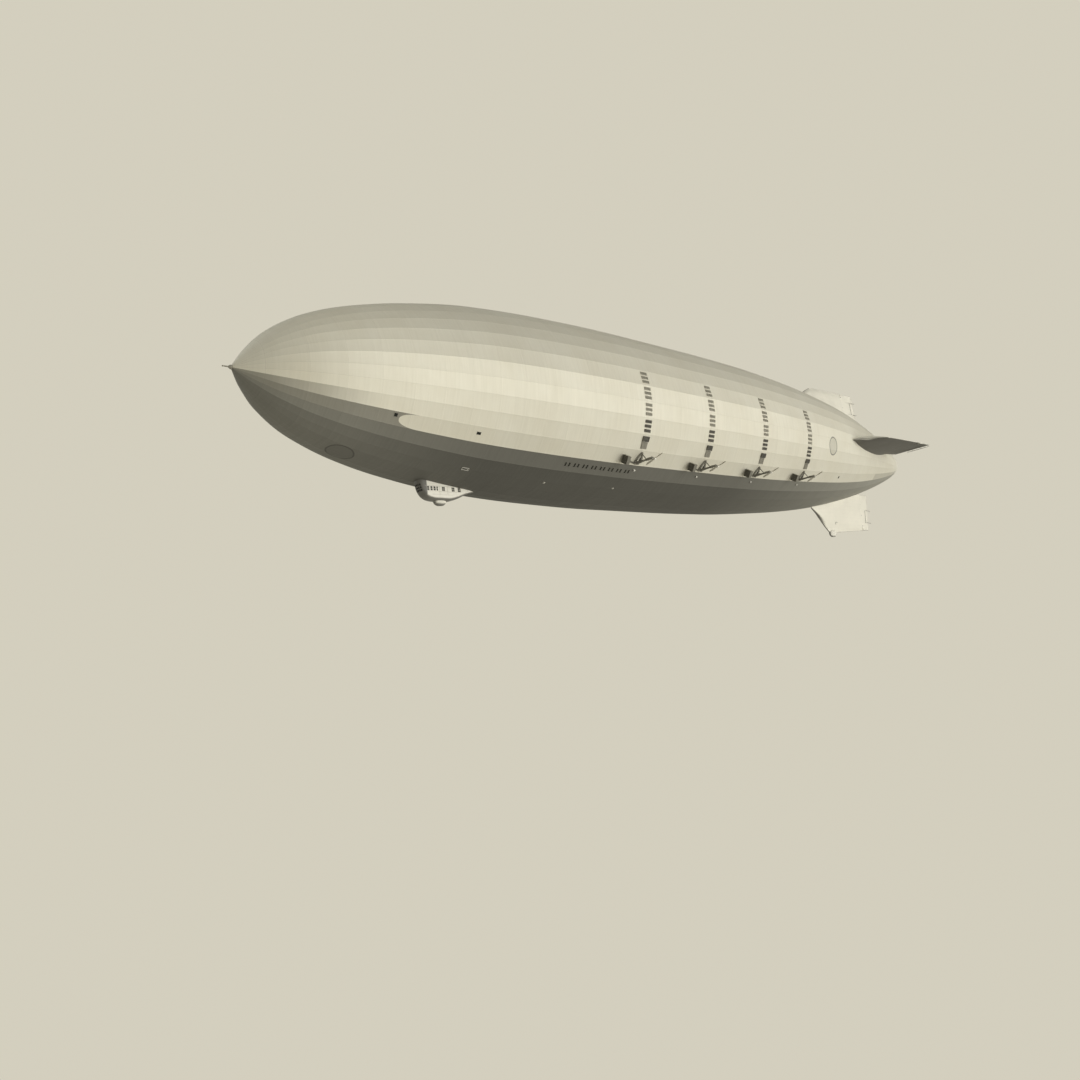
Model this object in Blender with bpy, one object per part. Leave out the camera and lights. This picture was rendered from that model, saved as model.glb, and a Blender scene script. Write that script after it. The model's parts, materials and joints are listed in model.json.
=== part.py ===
# Rigid airship with eight engines, as a 1:10 scale model. Lengths are metres.
# x runs forward, y to port, z up; the origin is on the hull's axis at its centre of buoyancy.
import math
import bmesh
import bpy
from mathutils import Matrix, Vector

for old in list(bpy.data.objects):
    bpy.data.objects.remove(old)

# Hull: length and largest radius, then radius over largest radius down the length.
LENGTH = 23.93
NOSE_X = 11.25
MAX_R = 2.025
SHELL = 0.010
GAP = 0.0004
PROFILE = [(0.0, 0.0), (0.01, 0.165), (0.025, 0.345), (0.05, 0.529), (0.085, 0.682), (0.13, 0.807),
           (0.19, 0.913), (0.27, 0.974), (0.36, 1.0), (0.45, 1.0), (0.54, 0.986), (0.63, 0.937),
           (0.71, 0.861), (0.79, 0.737), (0.86, 0.573), (0.92, 0.395), (0.965, 0.235), (0.982, 0.155),
           (0.992, 0.095), (0.998, 0.05), (1.0, 0.0)]

# Sections between the joints in the skin, each with its frames, as metres behind the nose.
SECTIONS = [
    ("nose_cap", [0.0, 0.04, 0.12, 0.26, 0.45, 0.70]),
    ("hull_bow", [0.70, 0.95, 1.3, 1.7, 2.2, 2.75, 3.35, 4.95]),
    ("hull_fore", [4.95, 6.1, 7.55, 8.70, 9.38]),
    ("hull_middle", [9.38, 9.80, 10.95, 12.05, 13.20, 13.88]),
    ("hull_aft", [13.88, 14.30, 15.45, 16.5, 17.65]),
    ("hull_stern", [17.65, 18.4, 19.2, 20.0, 20.8, 21.7, 22.45]),
    ("tail_cone", [22.45, 22.85, 23.2, 23.5, 23.72, 23.86, 23.92]),
]
TAIL_R = 0.035

# Engines: place down the hull, and the turn of the blades at rest.
ENGINES = [(8.254, -74), (10.504, -76), (12.754, -75), (15.004, -72)]
BAR_WIDTH = 0.195
BOX_WIDTH = 0.185
BAR_HEIGHT = 0.064
BAR_PITCH = 0.098
BAR_RISE = 0.012
SPINE_WIDTH = 0.10
FACET = math.radians(10)
SIDES = {"port": 1, "starboard": -1}

PROP_R = 0.249
SHAFT_ANGLE = math.radians(-36.6)
SHAFT_OUT = 0.305
SHAFT_AHEAD = 0.02
HUB_AFT = 0.12

# Fins: outline of the leading edge and tip as (metres behind the nose, radius); the lower fin reaches down further
# at its front corner.
FIN_EDGE = [(17.85, 1.66), (18.25, 1.90), (18.70, 2.13), (18.92, 2.21), (19.2, 2.24), (19.8, 2.258), (20.8, 2.275)]
LOWER_EDGE = [(17.85, 1.66), (18.12, 1.875), (18.335, 2.09), (18.56, 2.285), (18.75, 2.405), (18.92, 2.425),
              (19.24, 2.385), (20.2, 2.332), (20.8, 2.298)]
ROOT_HALF = [(17.85, 0.014), (18.07, 0.045), (18.31, 0.118), (18.6, 0.165), (18.95, 0.195), (19.4, 0.203),
             (19.84, 0.192), (20.3, 0.150), (20.66, 0.098), (20.84, 0.064)]
TIP_HALF = [(17.85, 0.008), (18.4, 0.014), (19.2, 0.026), (20.2, 0.034), (20.84, 0.030)]
HINGE_AFT = 20.90
TIP_R = 2.275
NOSE_T = 0.052
# Movable parts: metres behind the nose of the trailing edge at the root and at the tip, and the radius of the tip.
TRAILING = (21.66, 21.58)
LOWER_TRAILING = (21.45, 21.24)
LOWER_TIP_R = 2.29


def slope_table(points):
    """Tangents that keep a table's curve free of overshoot."""
    step = [(b[1] - a[1]) / (b[0] - a[0]) for a, b in zip(points, points[1:])]
    out = [step[0]]
    for a, b in zip(step, step[1:]):
        out.append(0.0 if a * b <= 0 else 2 * a * b / (a + b))
    return out + [step[-1]]


def curve(points, x):
    """Smooth value of a table at x."""
    if x <= points[0][0]:
        return points[0][1]
    slopes = slope_table(points)
    for i in range(len(points) - 1):
        (x0, y0), (x1, y1) = points[i], points[i + 1]
        if x <= x1:
            h = x1 - x0
            t = (x - x0) / h
            return ((2 * t ** 3 - 3 * t ** 2 + 1) * y0 + (t ** 3 - 2 * t ** 2 + t) * h * slopes[i]
                    + (3 * t ** 2 - 2 * t ** 3) * y1 + (t ** 3 - t ** 2) * h * slopes[i + 1])
    return points[-1][1]


FRAMES = sorted({aft for name, frames in SECTIONS for aft in frames})


def frame_radius(aft):
    """Radius of the hull's corners at a frame."""
    if aft <= 0.0:
        return 0.045
    if aft >= FRAMES[-1]:
        return TAIL_R
    return MAX_R * curve(PROFILE, aft / LENGTH)


def radius(aft):
    """Radius of the hull's corners anywhere, straight between frames."""
    for a, b in zip(FRAMES, FRAMES[1:]):
        if a <= aft <= b:
            return frame_radius(a) + (frame_radius(b) - frame_radius(a)) * (aft - a) / (b - a)
    return frame_radius(aft)


def flat(aft):
    """Distance from the axis to the middle of a facet."""
    return radius(aft) * math.cos(FACET / 2)


def add(name, verts, faces, weld=0.0):
    mesh = bpy.data.meshes.new(name)
    bm = bmesh.new()
    made = [bm.verts.new(v) for v in verts]
    for face in faces:
        bm.faces.new([made[i] for i in face])
    if weld:
        bmesh.ops.remove_doubles(bm, verts=bm.verts, dist=weld)
    bmesh.ops.recalc_face_normals(bm, faces=bm.faces)
    bm.to_mesh(mesh)
    bm.free()
    obj = bpy.data.objects.new(name, mesh)
    bpy.context.scene.collection.objects.link(obj)
    return obj


def loft(name, rings, closed=True):
    """Solid through rings with equal numbers of corners; closed adds the two end faces."""
    n = len(rings[0])
    verts = [v for ring in rings for v in ring]
    faces = []
    for i in range(len(rings) - 1):
        for j in range(n):
            k = (j + 1) % n
            faces.append((i * n + j, i * n + k, (i + 1) * n + k, (i + 1) * n + j))
    if closed:
        faces.append(tuple(range(n)))
        faces.append(tuple((len(rings) - 1) * n + j for j in range(n)))
    return add(name, verts, faces)


def box(name, centre, size, turn=None):
    verts = []
    for sx in (-0.5, 0.5):
        for sy in (-0.5, 0.5):
            for sz in (-0.5, 0.5):
                v = Vector((sx * size[0], sy * size[1], sz * size[2]))
                if turn is not None:
                    v = turn @ v
                verts.append(v + Vector(centre))
    faces = [(0, 1, 3, 2), (4, 6, 7, 5), (0, 4, 5, 1), (2, 3, 7, 6), (0, 2, 6, 4), (1, 5, 7, 3)]
    return add(name, verts, faces)


def rod(name, start, end, r0, r1=None, sides=12):
    """Round bar or cone from start to end."""
    start = Vector(start)
    end = Vector(end)
    along = (end - start).normalized()
    turn = along.to_track_quat("Z", "Y").to_matrix()
    rings = []
    for point, r in ((start, r0), (end, r0 if r1 is None else r1)):
        rings.append([point + turn @ Vector((r * math.cos(2 * math.pi * i / sides),
                                             r * math.sin(2 * math.pi * i / sides), 0))
                      for i in range(sides)])
    return loft(name, rings)


def boolean(target, tool, operation):
    mod = target.modifiers.new(operation.lower(), "BOOLEAN")
    mod.operation = operation
    mod.solver = "EXACT"
    mod.object = tool
    bpy.context.view_layer.update()
    bpy.context.view_layer.objects.active = target
    with bpy.context.temp_override(object=target, active_object=target):
        bpy.ops.object.modifier_apply(modifier=mod.name)
    bpy.data.objects.remove(tool)
    return target


def join(target, *tools):
    for tool in tools:
        boolean(target, tool, "UNION")
    return target


def cut(target, *tools):
    for tool in tools:
        boolean(target, tool, "DIFFERENCE")
    return target


def set_origin(obj, point):
    point = Vector(point)
    obj.data.transform(Matrix.Translation(-point))
    obj.location = point
    return obj


def ring36(aft, rise=0.0):
    """The hull's corners at one frame, raised by rise; corners stand at 5, 15, 25 degrees and so on."""
    r = radius(aft) + rise
    return [Vector((NOSE_X - aft, r * math.cos(math.radians(5 + 10 * k)), r * math.sin(math.radians(5 + 10 * k))))
            for k in range(36)]


def skin_point(aft, angle, rise=0.0):
    """Point on the skin at an angle up from port, with the outward and aft directions of its facet."""
    mid = math.radians(10 * round(math.degrees(angle) / 10))
    for a, b in zip(FRAMES, FRAMES[1:]):
        if a <= aft <= b:
            lean = (frame_radius(b) - frame_radius(a)) * math.cos(FACET / 2) / (b - a)
    out = Vector((lean, math.cos(mid), math.sin(mid))).normalized()
    back = Vector((-1, lean * math.cos(mid), lean * math.sin(mid))).normalized()
    across = out.cross(back)
    dist = flat(aft)
    side = dist * math.tan(angle - mid)
    point = Vector((NOSE_X - aft, dist * math.cos(mid) - side * math.sin(mid),
                    dist * math.sin(mid) + side * math.cos(mid)))
    return point + out * rise, Matrix((back, across, out)).transposed()


def skin_box(name, aft, angle, size, rise):
    """Box standing on the skin: size is along, across and out, rise the height of its middle."""
    point, turn = skin_point(aft, math.radians(angle), rise)
    return box(name, point, size, turn)


def mirror(obj, side):
    """Turns a port piece into a starboard one."""
    if side < 0:
        obj.data.transform(Matrix.Scale(-1, 4, (0, 1, 0)))
        obj.location.y = -obj.location.y
        obj.data.flip_normals()
    return obj


# Hull sections: shells open at the joints, with the nose and tail closed.
def hull_section(name, frames):
    first = frames[0] + (GAP / 2 if frames[0] > 0 else 0.0)
    last = frames[-1] - (GAP / 2 if frames[-1] < FRAMES[-1] else 0.0)
    stations = [first] + frames[1:-1] + [last]
    outer = [ring36(aft) for aft in stations]
    inner = [ring36(aft, -SHELL) for aft in stations]
    if frames[0] == 0.0:
        inner = [[v + Vector((-SHELL, 0, 0)) for v in inner[0]]] + inner[1:]
        return loft(name, outer + inner[::-1])
    if frames[-1] == FRAMES[-1]:
        inner = inner[:-1] + [[v + Vector((SHELL, 0, 0)) for v in inner[-1]]]
        return loft(name, outer[::-1] + inner)
    return loft(name, outer + inner[::-1] + [outer[0]], closed=False)


hull = {}
for section, frames in SECTIONS:
    hull[section] = hull_section(section, frames)
    if 0.0 < frames[0] and frames[-1] < FRAMES[-1]:
        bm = bmesh.new()
        bm.from_mesh(hull[section].data)
        bmesh.ops.remove_doubles(bm, verts=bm.verts, dist=1e-6)
        bmesh.ops.recalc_face_normals(bm, faces=bm.faces)
        bm.to_mesh(hull[section].data)
        bm.free()

# Nose fitting for a mooring mast.
spindle = rod("mooring_spindle", (NOSE_X + GAP, 0, 0), (NOSE_X + 0.05, 0, 0), 0.036, 0.026, 16)
join(spindle, rod("spindle_pin", (NOSE_X + 0.04, 0, 0), (NOSE_X + 0.14, 0, 0), 0.017, 0.017, 16))

# Windows of the cabins and the dark ports, cut through the skin on both sides.
WINDOWS = [6.33 + 0.25 * pair + 0.05 * half for pair in range(8) for half in (-1, 1)]
PORTS = [(2.37, -38), (4.00, -39), (17.27, -39.5)]
for side in SIDES.values():
    for aft in WINDOWS:
        section = "hull_fore"
        cut(hull[section], mirror(skin_box("window_cut", aft, -50, (0.045, 0.105, 0.06), 0.0), side))
    for aft, angle in PORTS:
        section = "hull_bow" if aft < 5 else "hull_aft"
        cut(hull[section], mirror(skin_box("port_cut", aft, angle, (0.075, 0.075, 0.06), 0.0), side))


def skin_plate(name, aft, degrees, outline, low, high):
    """Flat plate on one facet, its outline given as (metres aft, metres up the facet)."""
    point, turn = skin_point(aft, math.radians(degrees))
    return loft(name, [[point + turn @ Vector((u, w, rise)) for u, w in outline] for rise in (low, high)])


# Base frame of an outrigger, an A with one long and one short leg.
OUTRIGGER = [(-0.142, -0.140), (-0.090, -0.140), (0.002, 0.085), (0.078, -0.105), (0.120, -0.105),
             (0.030, 0.145), (-0.024, 0.145)]


def drive_unit(aft, tag, side, hub_y, hub_z):
    """Engine block inside the hull, its drive shaft, and the outrigger and radiator outside."""
    x = NOSE_X - aft + SHAFT_AHEAD
    skin_y = math.sqrt(radius(aft - SHAFT_AHEAD) ** 2 - hub_z ** 2)
    unit = box("drive_unit_" + tag, (x, skin_y - 0.33, hub_z), (0.10, 0.194, 0.096))
    tube = rod("tube", (x, skin_y - 0.26, hub_z), (x, hub_y - 0.095, hub_z), 0.026, 0.026, 12)
    spigot = rod("spigot", (x, hub_y - 0.105, hub_z), (x, hub_y + 0.040, hub_z), 0.0172, 0.0172, 16)
    join(unit, tube, spigot)
    join(unit, skin_box("flange", aft - 0.020, -43.3, (0.150, 0.076, 0.0145), 0.0082))
    join(unit, skin_plate("base", aft, -40, OUTRIGGER, GAP, 0.0170))
    for foot_aft, angle in ((aft + 0.003, -36.7), (aft - 0.113, -43.5)):
        start = skin_point(foot_aft, math.radians(angle), 0.010)[0]
        join(unit, rod("strut", start, (x, hub_y - 0.115, hub_z), 0.010, 0.010, 8))
    point, turn = skin_point(aft - 0.485, math.radians(-41), 0.094)
    radiator = box("radiator", point, (0.10, 0.18, 0.16), turn @ Matrix.Rotation(math.radians(-7), 3, "X"))
    arm = rod("arm", skin_point(aft - 0.46, math.radians(-41), 0.09)[0],
              skin_point(aft - 0.120, math.radians(-43.2), 0.012)[0], 0.011, 0.011, 8)
    join(unit, radiator, arm)
    mirror(unit, side)


def tilt_head(aft, tag, side, hub_y, hub_z):
    """Gear housing that turns on the end of the drive shaft."""
    x = NOSE_X - aft + SHAFT_AHEAD
    head = rod("tilt_head_" + tag, (x, hub_y - 0.085, hub_z), (x, hub_y + 0.052, hub_z), 0.031, 0.031, 16)
    join(head, rod("gear_nose", (x, hub_y, hub_z), (x - 0.080, hub_y, hub_z), 0.028, 0.024, 16))
    cut(head, rod("bore", (x, hub_y - 0.12, hub_z), (x, hub_y + 0.0404, hub_z), 0.018, 0.018, 16))
    set_origin(head, (x, hub_y, hub_z))
    mirror(head, side)


# Blades: distance from the centre, half the chord, half the thickness, pitch in degrees.
BLADE = [(0.010, 0.016, 0.010, 62), (0.05, 0.020, 0.008, 50), (0.12, 0.024, 0.0055, 32),
         (0.19, 0.021, 0.0035, 23), (0.235, 0.014, 0.0022, 18), (PROP_R, 0.006, 0.0015, 17)]


def propeller(aft, turn, tag, side, hub_y, hub_z):
    """Two-bladed propeller behind the head, with its shaft towards the head."""
    centre = Vector((NOSE_X - aft + SHAFT_AHEAD - HUB_AFT, hub_y, hub_z))
    prop = rod("propeller_" + tag, centre + Vector((0.024, 0, 0)), centre - Vector((0.022, 0, 0)), 0.026, 0.026, 16)
    join(prop, rod("shaft", centre, centre + Vector((HUB_AFT - 0.0804, 0, 0)), 0.012, 0.012, 12))
    join(prop, rod("spinner", centre - Vector((0.015, 0, 0)), centre - Vector((0.060, 0, 0)), 0.025, 0.008, 16))
    for way in (0, 180):
        rings = []
        for out, chord, thick, pitch in BLADE:
            p = math.radians(pitch)
            ring = []
            for a, b in ((chord, 0), (0.3 * chord, thick), (-chord, 0), (0.3 * chord, -thick)):
                v = Vector((a * math.sin(p) + b * math.cos(p), a * math.cos(p) - b * math.sin(p), out))
                ring.append(centre + Matrix.Rotation(math.radians(way + turn), 3, "X") @ v)
            rings.append(ring)
        join(prop, loft("blade", rings))
    set_origin(prop, centre)
    mirror(prop, side)


def condenser(aft, tag, side):
    """Water condenser: bars up five facets of the hull above the engine, on one thin spine."""
    rings = []
    for k in range(-4, 2):
        angle = math.radians(5 + 10 * k)
        ring = []
        for along, rise in ((-1, GAP), (1, GAP), (1, 0.006), (-1, 0.006)):
            place = aft + along * SPINE_WIDTH / 2
            r = radius(place) + rise
            ring.append(Vector((NOSE_X - place, r * math.cos(angle), r * math.sin(angle))))
        rings.append(ring)
    band = loft("condenser_" + tag, rings)
    dist = flat(aft)
    for facet in (-20, -10, 0, 10):
        for step in (-1, 0, 1):
            angle = facet + math.degrees(math.atan(step * BAR_PITCH / dist))
            join(band, skin_box("bar", aft, angle, (BAR_WIDTH, BAR_HEIGHT, BAR_RISE - GAP), (BAR_RISE + GAP) / 2))
    for middle, height, rise in ((0.080, 0.115, 0.030), (-0.062, 0.150, 0.013)):
        angle = -30 + math.degrees(math.atan(middle / dist))
        join(band, skin_box("panel", aft, angle, (BOX_WIDTH, height, rise - GAP), (rise + GAP) / 2))
    mirror(band, side)


def engine_set(index, aft, turn, side_name):
    """Everything that belongs to one engine on one side."""
    side = SIDES[side_name]
    tag = side_name + "_" + str(index + 1)
    reach = (flat(aft) + SHAFT_OUT) / math.cos(SHAFT_ANGLE + math.radians(40))
    hub_y = reach * math.cos(SHAFT_ANGLE)
    hub_z = reach * math.sin(SHAFT_ANGLE)
    skin_y = math.sqrt(radius(aft) ** 2 - hub_z ** 2)
    x = NOSE_X - aft + SHAFT_AHEAD
    section = "hull_fore" if aft < 9.38 else "hull_middle" if aft < 13.88 else "hull_aft"
    hole = rod("hole", (x, skin_y - 0.15, hub_z), (x, skin_y + 0.15, hub_z), 0.032, 0.032, 16)
    cut(hull[section], mirror(hole, side))
    drive_unit(aft, tag, side, hub_y, hub_z)
    tilt_head(aft, tag, side, hub_y, hub_z)
    propeller(aft, turn, tag, side, hub_y, hub_z)
    condenser(aft, tag, side)


for side_name in SIDES:
    for index, (aft, turn) in enumerate(ENGINES):
        engine_set(index, aft, turn, side_name)


# Fins: four alike, turned round the hull; the movable parts hinge behind them.
def half_thickness(aft, rho):
    """Half the thickness of a fin: thick at the root, thin at the tip."""
    low = flat(aft)
    share = max(0.0, min(1.0, (rho - low) / (TIP_R - low)))
    return curve(ROOT_HALF, aft) * (1 - share) + curve(TIP_HALF, aft) * share


def fin(name, degrees, edge):
    """Fixed fin, with its root trimmed to the hull's facets."""
    stations = [17.85, 18.1, 18.25, 18.4, 18.6, 18.8, 19.0, 19.2, 19.6, 20.0, 20.4, 20.8, HINGE_AFT - NOSE_T - 0.008]
    rings = []
    for aft in stations:
        low = flat(aft)
        high = curve(edge, aft)
        rows = [low - 0.05] + [low + (high - low) * share for share in (0.3, 0.6, 0.88)]
        ring = [Vector((NOSE_X - aft, half_thickness(aft, rho), rho)) for rho in rows]
        ring.append(Vector((NOSE_X - aft, 0.006, high)))
        rings.append(ring + [Vector((v.x, -v.y, v.z)) for v in ring[::-1]])
    obj = loft(name, rings)
    obj.data.transform(Matrix.Rotation(math.radians(degrees), 4, "X"))
    cut(obj, loft("hull_trim", [ring36(aft, GAP) for aft in (17.65, 18.4, 19.2, 20.0, 20.8, 21.7)]))
    return obj


def movable(name, degrees, trailing, tip):
    """Rudder or elevator: a round nose on the hinge and a straight trailing edge."""
    low = flat(HINGE_AFT - 0.05) + 0.035
    hinge_x = NOSE_X - HINGE_AFT
    rings = []
    for share, nose in ((0.0, NOSE_T), (0.5, NOSE_T * 0.8), (1.0, NOSE_T * 0.45)):
        rho = low + (tip - 0.004 - low) * share
        rear = NOSE_X - trailing[0] - (trailing[1] - trailing[0]) * share
        ring = [Vector((hinge_x + nose * math.cos(a), nose * math.sin(a), rho))
                for a in [math.radians(d) for d in (-90, -60, -30, 0, 30, 60, 90)]]
        ring.append(Vector((rear, 0.005, rho)))
        ring.append(Vector((rear, -0.005, rho)))
        rings.append(ring)
    obj = loft(name, rings)
    foot = flat(HINGE_AFT - 0.018) + GAP
    join(obj, rod("post", (hinge_x, 0, foot), (hinge_x, 0, low + 0.02), 0.016, 0.016, 12))
    obj.data.transform(Matrix.Rotation(math.radians(degrees), 4, "X"))
    return set_origin(obj, (hinge_x, 0, 0))


fin("fin_top", 0, FIN_EDGE)
fin("fin_port", -90, FIN_EDGE)
fin("fin_starboard", 90, FIN_EDGE)
fin_bottom = fin("fin_bottom", 180, LOWER_EDGE)
movable("rudder_top", 0, TRAILING, TIP_R)
movable("elevator_port", -90, TRAILING, TIP_R)
movable("elevator_starboard", 90, TRAILING, TIP_R)
movable("rudder_bottom", 180, LOWER_TRAILING, LOWER_TIP_R)


def ellipsoid(name, centre, size, flat_top=None, flat_bottom=None, sides=16, rows=8):
    """Egg shape with an upright axis, cut level at the heights given."""
    top = size[2] if flat_top is None else flat_top - centre[2]
    bottom = -size[2] if flat_bottom is None else flat_bottom - centre[2]
    a0 = math.asin(max(-0.995, bottom / size[2]))
    a1 = math.asin(min(0.995, top / size[2]))
    rings = []
    for i in range(rows + 1):
        a = a0 + (a1 - a0) * i / rows
        rings.append([Vector((centre[0] + size[0] * math.cos(a) * math.cos(2 * math.pi * j / sides),
                              centre[1] + size[1] * math.cos(a) * math.sin(2 * math.pi * j / sides),
                              centre[2] + size[2] * math.sin(a))) for j in range(sides)])
    return loft(name, rings)


# The lower fin's front corner carries a bumper fairing with a level underside.
join(fin_bottom, ellipsoid("fin_bumper", (NOSE_X - 18.88, 0, -2.43), (0.19, 0.062, 0.12), flat_bottom=-2.53))

# Control car: hollow, hung under the hull's flat bottom facet, with its windows cut.
CAR = [(3.50, 0.060, -1.76), (3.53, 0.095, -1.86), (3.57, 0.117, -1.945), (3.64, 0.129, -2.025),
       (3.74, 0.133, -2.070), (3.86, 0.134, -2.085), (4.14, 0.133, -2.085), (4.35, 0.127, -2.045), (4.58, 0.108, -1.955),
       (4.72, 0.080, -1.900), (4.82, 0.045, -1.872)]


def car_ring(aft, half, bottom, inset):
    """Section of the car: upright sides and a rounded floor under the hull's bottom facet."""
    top = -flat(aft) - GAP
    half = half - inset
    bottom = min(top - 0.008, bottom + inset)
    bend = min(0.07, 0.5 * half, 0.5 * (top - bottom))
    side = [(half, top), (half, bottom + bend), (half - 0.3 * bend, bottom + 0.3 * bend), (half - bend, bottom)]
    ring = [Vector((NOSE_X - aft, y, z)) for y, z in side]
    return ring + [Vector((NOSE_X - aft, -y, z)) for y, z in side[::-1]]


def table_at(rows, aft, column):
    return curve([(row[0], row[column]) for row in rows], aft)


car = loft("control_car", [car_ring(a, h, d, 0.0) for a, h, d in CAR])
inside = []
for a in (3.56, 3.60, 3.66, 3.76, 3.88, 4.14, 4.35, 4.56, 4.64):
    outer = a - 0.014 if a < 4.0 else a + 0.014
    ring = car_ring(a, table_at(CAR, outer, 1), table_at(CAR, outer, 2), SHELL + 0.002)
    for v in ring[:1] + ring[-1:]:
        v.z += 0.05
    inside.append(ring)
cut(car, loft("cabin", inside))
# Car windows: metres behind the nose, width; each is a pair, one above the other.
CAR_WINDOWS = [(3.670, 0.044), (3.742, 0.044), (3.814, 0.044), (3.876, 0.028), (4.005, 0.028), (4.041, 0.028),
               (4.238, 0.028), (4.274, 0.028), (4.392, 0.028), (4.428, 0.028)]
for aft, width in CAR_WINDOWS:
    for height in (-1.851, -1.893):
        cut(car, box("car_window", (NOSE_X - aft, 0, height), (width, 0.4, 0.036)))
for across in (-0.072, -0.024, 0.024, 0.072):
    for height in (-1.797, -1.851, -1.900):
        cut(car, box("front_window", (NOSE_X - 3.50, across, height), (0.20, 0.036, 0.038)))

ellipsoid("car_bumper", (NOSE_X - 4.0, 0, -2.085), (0.145, 0.080, 0.10), flat_top=-2.085 - GAP,
          flat_bottom=-2.170)
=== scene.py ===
# Looks of the rigid airship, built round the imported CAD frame. Lengths are metres; x forward, y port, z up.
import json
from math import asin, atan, ceil, cos, pi, radians, sin, sqrt, tan

import bmesh
import bpy
from mathutils import Matrix, Vector


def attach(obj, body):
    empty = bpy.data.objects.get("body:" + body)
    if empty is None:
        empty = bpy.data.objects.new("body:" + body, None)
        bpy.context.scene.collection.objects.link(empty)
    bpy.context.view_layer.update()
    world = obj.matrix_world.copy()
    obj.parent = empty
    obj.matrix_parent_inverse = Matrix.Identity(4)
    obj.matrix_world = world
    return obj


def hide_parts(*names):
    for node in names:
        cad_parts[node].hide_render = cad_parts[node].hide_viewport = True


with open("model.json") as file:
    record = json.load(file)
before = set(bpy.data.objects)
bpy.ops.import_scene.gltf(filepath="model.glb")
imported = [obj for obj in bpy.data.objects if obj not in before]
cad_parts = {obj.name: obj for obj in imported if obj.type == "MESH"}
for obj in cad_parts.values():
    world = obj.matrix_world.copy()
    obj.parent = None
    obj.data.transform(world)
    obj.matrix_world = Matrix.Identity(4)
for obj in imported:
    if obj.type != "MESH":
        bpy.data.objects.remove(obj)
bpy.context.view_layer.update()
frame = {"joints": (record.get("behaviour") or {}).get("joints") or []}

# Hull shape, as in the CAD source
LENGTH = 23.93
NOSE_X = 11.25
MAX_R = 2.025
SHELL = 0.01
PROFILE = [(0, 0), (0.01, 0.165), (0.025, 0.345), (0.05, 0.529), (0.085, 0.682), (0.13, 0.807),
           (0.19, 0.913), (0.27, 0.974), (0.36, 1), (0.45, 1), (0.54, 0.986), (0.63, 0.937),
           (0.71, 0.861), (0.79, 0.737), (0.86, 0.573), (0.92, 0.395), (0.965, 0.235), (0.982, 0.155),
           (0.992, 0.095), (0.998, 0.05), (1, 0)]
SECTIONS = [("nose_cap", 0, 0.7), ("hull_bow", 0.7, 4.95), ("hull_fore", 4.95, 9.38),
            ("hull_middle", 9.38, 13.88), ("hull_aft", 13.88, 17.65), ("hull_stern", 17.65, 22.45),
            ("tail_cone", 22.45, 23.92)]
ENGINES = [(8.254, -74), (10.504, -76), (12.754, -75), (15.004, -72)]
SIDES = {"port": 1, "starboard": -1}
RING_STEP = 0.5625
RING_FIRST = 8.254 - 14 * RING_STEP
HUB_AFT = 0.12
PROP_R = 0.249


def steps(first, last, count):
    """Evenly spaced numbers, with both ends."""
    return [first + (last - first) * i / count for i in range(count + 1)]


def slope_table(points):
    step = [(b[1] - a[1]) / (b[0] - a[0]) for a, b in zip(points, points[1:])]
    out = [step[0]]
    for a, b in zip(step, step[1:]):
        out.append(0 if a * b <= 0 else 2 * a * b / (a + b))
    return out + [step[-1]]


def curve(points, x):
    """Smooth value of a table at x."""
    if x <= points[0][0]:
        return points[0][1]
    slopes = slope_table(points)
    for i in range(len(points) - 1):
        (x0, y0), (x1, y1) = points[i], points[i + 1]
        if x <= x1:
            h = x1 - x0
            t = (x - x0) / h
            return ((2 * t ** 3 - 3 * t ** 2 + 1) * y0 + (t ** 3 - 2 * t ** 2 + t) * h * slopes[i]
                    + (3 * t ** 2 - 2 * t ** 3) * y1 + (t ** 3 - t ** 2) * h * slopes[i + 1])
    return points[-1][1]


def about_x(degrees):
    return Matrix.Rotation(radians(degrees), 3, "X")


def at(aft, y, z):
    """Point in the world from its distance behind the nose."""
    return Vector((NOSE_X - aft, y, z))


def radius(aft):
    """Radius of the hull's corners."""
    return max(0.012, MAX_R * curve(PROFILE, aft / LENGTH))


def flat(aft):
    return radius(aft) * cos(radians(5))


def skin_point(aft, degrees, rise=0):
    """Point on the skin, and the aft, across and outward directions of its facet as columns."""
    mid = radians(10 * round(degrees / 10))
    lean = (flat(aft + 0.05) - flat(aft - 0.05)) / 0.1
    out = Vector((lean, cos(mid), sin(mid))).normalized()
    back = Vector((-1, lean * cos(mid), lean * sin(mid))).normalized()
    side = flat(aft) * tan(radians(degrees) - mid)
    point = at(aft, flat(aft) * cos(mid) - side * sin(mid), flat(aft) * sin(mid) + side * cos(mid))
    return point + out * rise, Matrix((back, out.cross(back), out)).transposed()


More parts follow.
